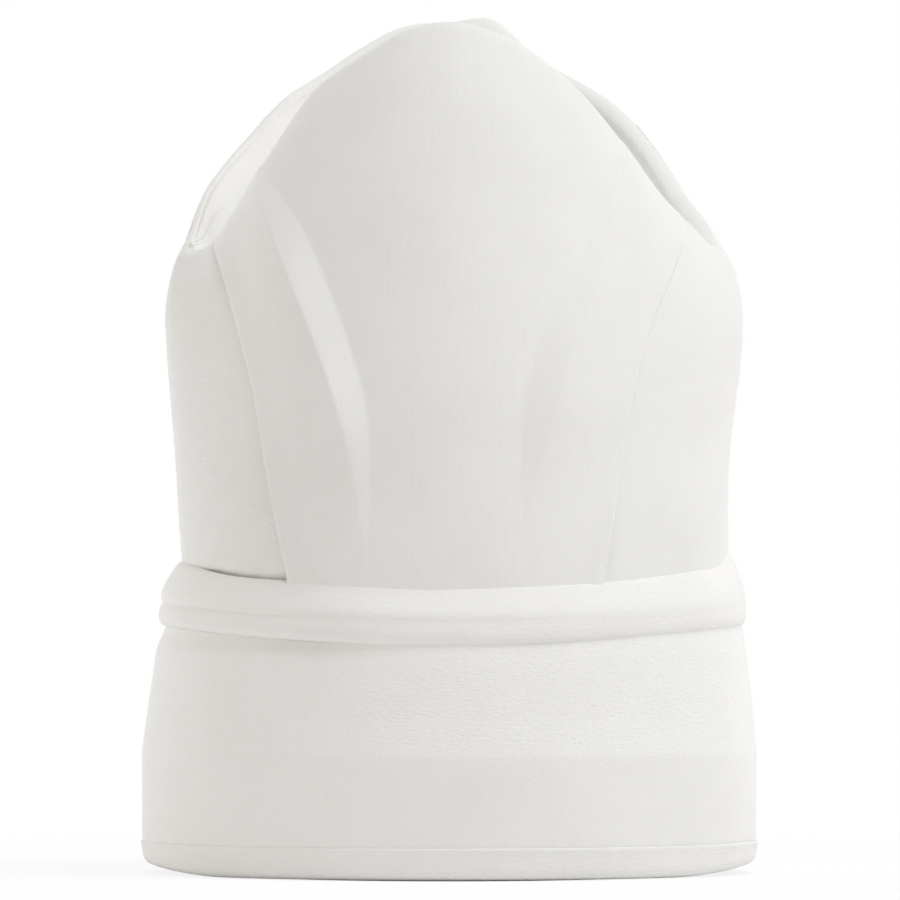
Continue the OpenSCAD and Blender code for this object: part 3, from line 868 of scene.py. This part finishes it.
def rows_on_tape(radius, long, pitch, side):
    """Places in staggered rows on a tape, the way along it, and the way off its face."""
    row_pitch = pitch * ROW_CLOSE
    in_row = np.arange(TAPE_EDGE, long - TAPE_EDGE, pitch)
    across, up = np.meshgrid(in_row, np.arange(ROW_START, TAPE_HIGH - TAPE_LOW - TAPE_EDGE, row_pitch))
    stagger = np.arange(across.shape[0])[:, None] % 2 * pitch / 2
    theta = (np.radians(FLAP_END) + (HOOK_START + across + stagger) / radius).ravel()
    z = (TAPE_LOW + up).ravel()
    off = np.stack([np.cos(theta), np.sin(theta), 0 * theta], 1)
    way = np.stack([-np.sin(theta), np.cos(theta), 0 * theta], 1)
    flip = np.where(np.round(up / row_pitch).ravel() % 2 < 1, 1, -1)[:, None]
    return radius * off + np.stack([0 * z, 0 * z, z], 1), way * flip, side * off

# %% Hooks and arches
HOOK_WIRE, HOOK_PITCH = 0.13, 1.7
HOOK_STEPS = [(0.2, 20), (0.12, 45), (0.12, 50), (0.12, 40), (0.08, 0)]
ARCH_WIRE, ARCH_PITCH = 0.09, 1.5
ARCH_STEPS = [(0.14, 40), (0.16, 35), (0.2, 30), (0.2, 35), (0.16, 40), (0.16, 0)]

hook = bent_wire("one_hook", 4, HOOK_WIRE, HOOK_STEPS)
hook_rows = rows_on_tape(HOOK_TOP - TAPE_T, HOOK_LONG, HOOK_PITCH, -1)
set_out("hooks", hook, *hook_rows, "flap", "hook_tape")
arch = bent_wire("one_arch", 3, ARCH_WIRE, ARCH_STEPS)
arch_rows = rows_on_tape(LOOP_TOP, LOOP_LONG, ARCH_PITCH, 1)
set_out("loop_pile", arch, *arch_rows, "hat", "loop_tape")
for model in (hook, arch):
    bpy.data.objects.remove(model)

# %% [markdown]
# ## Stitches
# Thread shows wherever two layers are sewn: along the edges of the pleated panels, round the flap, and
# along the sweatband. One stitch is a stretched ball whose two ends are pulled down into the cloth.
# Curves with a round bevel would make a thread too, but short raised stitches catch the light as real
# ones do. On the crown the thread is drawn tight and lies nearly flush with the cloth.

# %% One stitch
STITCH_LONG, STITCH_STEP = 1.9, 2.6
HALF_HIGH, HALF_WIDE = 0.2, 0.24
END_SHARE, END_DOWN = 0.4, 0.22

bpy.ops.object.select_all(action="DESELECT")
bpy.ops.mesh.primitive_uv_sphere_add(segments=6, ring_count=5, radius=1, rotation=(0, math.pi / 2, 0))
stitch = bpy.context.object
stitch.name = "one_stitch"
stitch.scale = (HALF_HIGH * MM, HALF_WIDE * MM, STITCH_LONG / 2 * MM)
bpy.ops.object.transform_apply(location=True, rotation=True, scale=True)
bpy.ops.object.mode_set(mode="EDIT")
bpy.ops.mesh.select_mode(type="VERT")
bpy.ops.mesh.select_all(action="DESELECT")
bpy.ops.object.mode_set(mode="OBJECT")
for vertex in stitch.data.vertices:
    vertex.select = abs(vertex.co.x) > STITCH_LONG * END_SHARE * MM
bpy.ops.object.mode_set(mode="EDIT")
bpy.ops.transform.translate(value=(0, 0, -END_DOWN * MM))
bpy.ops.object.mode_set(mode="OBJECT")
bpy.ops.object.shade_smooth()
print("one stitch", [round(x / MM, 2) for x in stitch.dimensions], "mm,", len(stitch.data.polygons), "faces")


def sew_row(name, line, off, body, slot):
    """A row of stitches along a line of points, off the cloth in the given directions."""
    both = evenly(np.hstack([line, off]), STITCH_STEP)
    places, ups = both[:, :3], unit(both[:, 3:])
    ways = np.gradient(places, axis=0)
    ways = unit(ways - (ways * ups).sum(1)[:, None] * ups)
    set_out(name, stitch, places, ways, ups, body, slot)

# %% Sew the rows
EDGE_COL = PANEL_COLS - 1
FIRST_ROW, LAST_ROW = 11, WALL_ROWS - 3
PANEL_SINK, FLAP_SINK = 0.17, 0.35
SWEAT_IN, SWEAT_TOP_ROW, SWEAT_FOOT_ROW = 93.4, 34.2, 11.6


def panel_row(name, cloth, col):
    """Stitches up one edge of a panel, along a column of its cloth."""
    inner = 1 if col < PANEL_COLS / 2 else -1
    line = cloth[FIRST_ROW:LAST_ROW, col]
    next_row = cloth[FIRST_ROW + 1:LAST_ROW + 1, col] - line
    beside = cloth[FIRST_ROW:LAST_ROW, col + inner] - line
    off = unit(np.cross(inner * beside, next_row))
    sew_row(name, line - PANEL_SINK * off, off, "hat", "crown_cloth")


for panel, cloth in (("front", front_cloth), ("back", back_cloth)):
    panel_row(panel + "_stitches_left", cloth, 1)
    panel_row(panel + "_stitches_right", cloth, EDGE_COL)
for name, row in (("flap_edge_stitches", edge_row), ("flap_box_stitches", box_row)):
    fine = evenly(row, 0.5)
    line = flap_place(fine[:, 0], fine[:, 1], -FLAP_SINK)
    sew_row(name, line, line * (1, 1, 0), "flap", "band_cloth")
turn = np.radians(SLIT_MIDDLE + np.linspace(1.5, 358.5, 400))
inward = -np.stack([np.cos(turn), np.sin(turn), 0 * turn], 1)
for name, height in (("sweatband_stitches_top", SWEAT_TOP_ROW), ("sweatband_stitches_foot", SWEAT_FOOT_ROW)):
    sew_row(name, -SWEAT_IN * inward + (0, 0, height), inward, "hat", "sweatband")
bpy.data.objects.remove(stitch)

# %% [markdown]
# ## Shaders as sums
# A finish is a chain of nodes, and most of them only add and multiply. So a small class stands for one
# wire: an expression written with it adds the Math nodes. Every other node comes from one method, which
# takes the node's settings first and then what goes into its sockets.

# %% A wire and a shader
class Wire:
    """One value inside a shader. Arithmetic on it adds Math nodes."""

    def __init__(self, shader, socket):
        self.shader, self.socket = shader, socket

    def math(self, operation, *values):
        return self.shader.node("ShaderNodeMath", {"operation": operation}, dict(enumerate(values)))

    def __add__(self, other):
        return self.math("ADD", self, other)

    def __sub__(self, other):
        return self.math("SUBTRACT", self, other)

    def __rsub__(self, other):
        return self.math("SUBTRACT", other, self)

    def __mul__(self, other):
        return self.math("MULTIPLY", self, other)

    __radd__, __rmul__ = __add__, __mul__

    def sine(self):
        return self.math("SINE", self)

    def between(self, low, high):
        """0 up to low, 1 from high, smooth between."""
        sockets = {"Value": self, "From Min": low, "From Max": high}
        return self.shader.node("ShaderNodeMapRange", {"interpolation_type": "SMOOTHSTEP"}, sockets)


class Shader:
    """A tree of nodes, and the one way to add a node to it."""

    def __init__(self, tree):
        self.tree = tree
        tree.nodes.clear()

    def node(self, kind, settings, sockets, output=0):
        made = self.tree.nodes.new(kind)
        for key, value in settings.items():
            setattr(made, key, value)
        for key, value in sockets.items():
            if isinstance(value, Wire):
                self.tree.links.new(value.socket, made.inputs[key])
            else:
                made.inputs[key].default_value = value
        return Wire(self, made.outputs[output]) if made.outputs else made

    def grain(self, where, size, detail=2.0):
        """Noise from 0 to 1 whose spots have the given size in millimetres, along x, y and z."""
        scale = tuple(1 / (x * MM) for x in size)
        spread = self.node("ShaderNodeMapping", {}, {"Vector": where, "Scale": scale})
        return self.node("ShaderNodeTexNoise", {}, {"Vector": spread, "Scale": 1.0, "Detail": detail}, "Fac")

# %% [markdown]
# ## Cloth
# All the cloth is taken as white cotton, washed a little warm, and what tells one cloth from another is
# its weave: fine upright ribs on the crown, a crepe of short level creases on the band, a plain weave in
# the lining, and loops in the towelling. The left side of the crown shows a crepe too. Each cloth is
# mottled in soft patches of a darker white, and the hollows of its weave take a painted shade of that
# darker white. The top has painted light and shade: it is a lighter white on the left and darkens to a
# painted shade on the right. A weave follows the cloth and so reads its UV map, and the patches and the
# painted shade of the top do not, so they read the object's coordinates. Each weave is a height that goes
# through a Bump node, at a depth given in millimetres.

# %% A cloth finish
def cloth_finish(name, colour, wear_and_shade_colour, weave, depth, rough, sheen, painted_right_shade=0.0):
    """weave(shader, uv, across, up) gives a height, 0 to about 1. The last argument paints shade on the
    right.
    """
    material = bpy.data.materials.new(name)
    material.use_nodes = True
    shader = Shader(material.node_tree)
    uv = shader.node("ShaderNodeTexCoord", {}, {}, "UV")
    place = shader.node("ShaderNodeTexCoord", {}, {}, "Object")
    across = shader.node("ShaderNodeSeparateXYZ", {}, {0: uv}, "X")
    up = shader.node("ShaderNodeSeparateXYZ", {}, {0: uv}, "Y")
    height = weave(shader, uv, across, up)
    bump = shader.node("ShaderNodeBump", {}, {"Height": height, "Distance": depth * MM})
    patch = shader.grain(place, (34, 34, 34), 3.0).between(0.35, 0.75)
    # Painted shade: the hollows of the weave take the darker colour.
    painted_hollow_shade = 1 - height.between(0.05, 0.75)
    # Painted light and shade by the object's x: the top keeps its lighter white on the left and darkens on
    # the right.
    right = shader.node("ShaderNodeSeparateXYZ", {}, {0: place}, "X").between(-0.02, 0.03)
    shade = (patch * 0.6 + painted_hollow_shade * 0.4) * (1 - painted_right_shade) + right * painted_right_shade
    tint = shader.node("ShaderNodeMix", {"data_type": "RGBA"}, {0: shade, 6: (*colour, 1), 7: (*wear_and_shade_colour, 1)}, 2)
    fuzz = shader.grain(place, (1.2, 1.2, 1.2))
    sockets = {"Base Color": tint, "Roughness": rough - 0.05 + fuzz * 0.1, "Normal": bump}
    sockets.update({"Sheen Weight": sheen, "Sheen Roughness": 0.5, "Specular IOR Level": 0.3})
    body = shader.node("ShaderNodeBsdfPrincipled", {}, sockets)
    shader.node("ShaderNodeOutputMaterial", {}, {"Surface": body})
    return material

# %% Weaves of the crown and the band
RIB_STEP = 0.9 * MM


def rib_weave(shader, uv, across, up):
    """Fine upright ribs, 0.9 mm apart, of uneven thickness, crossed by a faint crepe."""
    slub = shader.grain(uv, (1.3, 12, 1))
    rib = ((across + slub * RIB_STEP) * (2 * math.pi / RIB_STEP)).sine()
    return rib * 0.05 + slub * 0.5 + shader.grain(uv, (2.6, 0.8, 1), 3.0) * 0.45


def side_weave(shader, uv, across, up):
    """Short level creases, which show on the left side of the crown."""
    return shader.grain(uv, (2.0, 0.8, 1), 3.0) * 0.8 + shader.grain(uv, (0.7, 0.7, 1)) * 0.2


def crepe_weave(shader, uv, across, up):
    """Short level creases, deep on the leaning part of the band and faint on its pressed foot."""
    crease = shader.grain(uv, (2.0, 0.85, 1), 3.0)
    deep = up.between(0.024, 0.036)
    return crease * (0.35 + deep * 0.65) + shader.grain(uv, (0.6, 0.6, 1)) * 0.2


def roll_weave(shader, uv, across, up):
    """Longer and softer creases, on the roll, the hem and the flap."""
    return shader.grain(uv, (3.0, 1.0, 1), 3.0) * 0.7 + shader.grain(uv, (0.6, 0.6, 1)) * 0.25

# %% Weaves of the inner pieces
THREAD_STEP = 0.8 * MM
LOOP_STEP = 1.3 * MM
TAPE_RIB = 0.7 * MM


def plain_weave(shader, uv, across, up):
    """Threads over and under, 0.8 mm apart."""
    over = (across * (2 * math.pi / THREAD_STEP)).sine() * (up * (2 * math.pi / THREAD_STEP)).sine()
    return over * 0.3 + 0.4 + shader.grain(uv, (2.5, 2.5, 1)) * 0.25


def towel_weave(shader, uv, across, up):
    """A pile of small loops."""
    loops = shader.node("ShaderNodeTexVoronoi", {}, {"Vector": uv, "Scale": 1 / LOOP_STEP}, "Distance")
    return 0.85 - loops * 0.8 + shader.grain(uv, (0.5, 0.5, 1)) * 0.2


def felt_weave(shader, uv, across, up):
    """Matted hairs that lie both ways."""
    return shader.grain(uv, (0.5, 2.6, 1), 4.0) * 0.6 + shader.grain(uv, (2.6, 0.5, 1), 4.0) * 0.4


def tape_weave(shader, uv, across, up):
    """A tight ground weave with a rib along the tape."""
    return (up * (2 * math.pi / TAPE_RIB)).sine() * 0.25 + 0.3 + shader.grain(uv, (0.4, 0.4, 1)) * 0.4


def thread_twist(shader, uv, across, up):
    """The plies of sewing thread."""
    return ((across * 9.0 + up * 3.0) * (2 * math.pi)).sine() * 0.35 + 0.5

# %% Dress every piece
# The darker whites mottle each cloth in patches and also give the painted shade in the hollows of its weave.
WHITE, WEAR_AND_SHADE = (0.81, 0.799, 0.78), (0.77, 0.758, 0.737)
BAND_WHITE, BAND_WEAR_AND_SHADE = (0.844, 0.833, 0.813), (0.804, 0.792, 0.77)
ROLL_WHITE, ROLL_WEAR_AND_SHADE = (0.83, 0.818, 0.797), (0.79, 0.777, 0.754)
# The top's lighter white is painted light on its left, and its darker colour is painted shade on its right.
TOP_PAINTED_LIGHT_WHITE, TOP_PAINTED_SHADE_AND_WEAR = (0.872, 0.862, 0.84), (0.755, 0.743, 0.722)
ROUGH, SHEEN = 0.86, 0.12
# Each row: the white, the darker white of wear and painted shade, the weave and its depth in mm,
# then roughness, sheen and the painted shade on the right.
recipes = {
    "crown_rib": (WHITE, WEAR_AND_SHADE, rib_weave, 0.18, ROUGH, SHEEN),
    "side_crepe": (WHITE, WEAR_AND_SHADE, side_weave, 0.38, ROUGH, SHEEN),
    "top_rib": (TOP_PAINTED_LIGHT_WHITE, TOP_PAINTED_SHADE_AND_WEAR, rib_weave, 0.18, ROUGH, SHEEN, 0.8),
    "band_crepe": (BAND_WHITE, BAND_WEAR_AND_SHADE, crepe_weave, 0.32, ROUGH, SHEEN),
    "roll_crepe": (ROLL_WHITE, ROLL_WEAR_AND_SHADE, roll_weave, 0.3, ROUGH, SHEEN),
    "lining_plain": ((0.79, 0.78, 0.75), (0.74, 0.725, 0.69), plain_weave, 0.2, ROUGH, SHEEN),
    "towelling": ((0.79, 0.775, 0.735), (0.7, 0.675, 0.62), towel_weave, 0.6, 0.92, 0.25),
    "pressed_felt": ((0.74, 0.735, 0.71), (0.68, 0.67, 0.64), felt_weave, 0.3, 0.95, 0.2),
    "tape_ground": ((0.8, 0.8, 0.79), (0.73, 0.73, 0.72), tape_weave, 0.2, 0.6, 0.0),
    "bent_nylon": ((0.83, 0.83, 0.83), (0.78, 0.78, 0.78), thread_twist, 0.02, 0.42, 0.0),
    "sewing_thread": ((0.83, 0.82, 0.795), (0.77, 0.757, 0.725), thread_twist, 0.05, 0.7, 0.1),
}
finishes = {name: cloth_finish(name, *recipe) for name, recipe in recipes.items()}
dressed = {
    "crown_front": "crown_rib", "crown_back": "crown_rib", "crown_right": "crown_rib",
    "crown_left": "side_crepe", "crown_top": "top_rib", "band_outer": "band_crepe",
    "band_roll_cloth": "roll_crepe", "hem_cloth": "roll_crepe",
    "closure_flap_cloth": "roll_crepe", "flap_root_fold": "roll_crepe",
    "band_felt": "pressed_felt", "band_lining_cloth": "lining_plain", "sweatband_towel": "towelling",
    "hook_tape": "tape_ground", "loop_tape": "tape_ground", "hooks": "bent_nylon", "loop_pile": "bent_nylon",
}
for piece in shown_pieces():
    finish = dressed.get(piece.name, "sewing_thread")
    piece.data.materials.clear()
    piece.data.materials.append(finishes[finish])
    print(piece.name, "is finished in", finish)

# %% [markdown]
# ## Floor and room
# The hat stands on white in a white room. To the camera the floor is nearly all glow at a strength of 1,
# which is white, and the small rest of it is a matte white that takes the shadow under the hem. Further
# off the glow takes over, so no horizon shows. Inside the hat there is no glow, so the slit stays dark.
# To every other ray the floor is plain matte white, which lights the hat from below as a real one does.

# %% Floor and room
FLOOR_WIDE, FLOOR_DOWN = 8, 0.0002
INSIDE, RIM = 0.094, 0.097
OVAL = (1.23, 1, 1)
NEAR, FAR = 0.11, 0.6
GLOW_NEAR = 0.86
PURE, MATTE = (1, 1, 1, 1), (0.9, 0.9, 0.9, 1)
ROOM_TINT, ROOM_LIGHT = (1, 0.99, 0.925, 1), 0.493
SEEN_RAYS = ("Is Camera Ray", "Is Glossy Ray", "Is Transmission Ray")

bpy.ops.object.select_all(action="DESELECT")
bpy.ops.mesh.primitive_plane_add(size=FLOOR_WIDE, location=(0, 0, 0))
floor = bpy.context.object
floor.name = "studio_floor"
floor.data.transform(Matrix.Translation((0, 0, -FLOOR_DOWN)))
white = bpy.data.materials.new("studio_white")
white.use_nodes = True
floor.data.materials.append(white)


def seen_ray(shader):
    """1 for a ray from the camera, a mirror or glass, and 0 for light that bounces about the room."""
    direct, mirror, glass = (shader.node("ShaderNodeLightPath", {}, {}, ray) for ray in SEEN_RAYS)
    return (direct + mirror + glass).between(0, 1)


shader = Shader(white.node_tree)
spot = shader.node("ShaderNodeTexCoord", {}, {}, "Object")
away = shader.node("ShaderNodeVectorMath", {"operation": "LENGTH"}, {0: spot}, "Value")
oval = shader.node("ShaderNodeVectorMath", {"operation": "MULTIPLY"}, {0: spot, 1: OVAL})
within = shader.node("ShaderNodeVectorMath", {"operation": "LENGTH"}, {0: oval}, "Value")
share = (GLOW_NEAR + away.between(NEAR, FAR) * (1 - GLOW_NEAR)) * within.between(INSIDE, RIM)
matte = shader.node("ShaderNodeBsdfDiffuse", {}, {"Color": MATTE})
glow = shader.node("ShaderNodeEmission", {}, {"Color": PURE, "Strength": 1.0})
surface = shader.node("ShaderNodeMixShader", {}, {0: share * seen_ray(shader), 1: matte, 2: glow})
shader.node("ShaderNodeOutputMaterial", {}, {"Surface": surface})

world = bpy.context.scene.world or bpy.data.worlds.new("studio_room")
bpy.context.scene.world = world
world.use_nodes = True
shader = Shader(world.node_tree)
room = shader.node("ShaderNodeBackground", {}, {"Color": ROOM_TINT, "Strength": ROOM_LIGHT})
seen = shader.node("ShaderNodeBackground", {}, {"Color": PURE, "Strength": 1.0})
both = shader.node("ShaderNodeMixShader", {}, {0: seen_ray(shader), 1: room, 2: seen})
shader.node("ShaderNodeOutputWorld", {}, {"Surface": both})
print("floor", FLOOR_WIDE, "m wide, room light", ROOM_LIGHT)

# %% [markdown]
# ## Lamps
# The photograph is lit high from the right, with a second lamp lower on that side. Three low lamps stand
# behind the hat, two to the left and one to the right, and light its edges. A faint one stands in front
# on the left. Each is a large square lamp, about two metres away, so the shadows of the folds stay soft.

# %% Lamps
LAMP_AWAY = 2.2
LAMP_WIDE = 1.0
AIM = Vector((0, 0, 0.14))


def lamp(name, turn, height, power, colour):
    """A lamp at degrees round from the front, positive to the right, and degrees up."""
    turn, height = math.radians(turn), math.radians(height)
    level = math.cos(height)
    place = AIM + LAMP_AWAY * Vector((level * math.sin(turn), -level * math.cos(turn), math.sin(height)))
    bpy.ops.object.light_add(type="AREA", location=place)
    light = bpy.context.object
    light.name = name
    light.data.size = LAMP_WIDE
    light.data.energy = power
    light.data.color = colour
    light.rotation_euler = (AIM - place).to_track_quat("-Z", "Y").to_euler()
    print("lamp", name, "at", [round(x, 2) for x in place], "m,", power, "W")


lamp("high_right", 50, 65, 19.5, (0.905, 0.945, 1))
lamp("right", 80, 35, 11.6, (0.975, 0.965, 1))
lamp("left", -125, 5, 13.2, (1, 0.945, 0.975))
lamp("back_left", -150, 5, 10.0, (0.88, 0.97, 1))
lamp("back_right", 140, 5, 8.0, (0.98, 0.96, 1))
lamp("front_left", -40, 5, 6.2, (1, 0.95, 0.95))
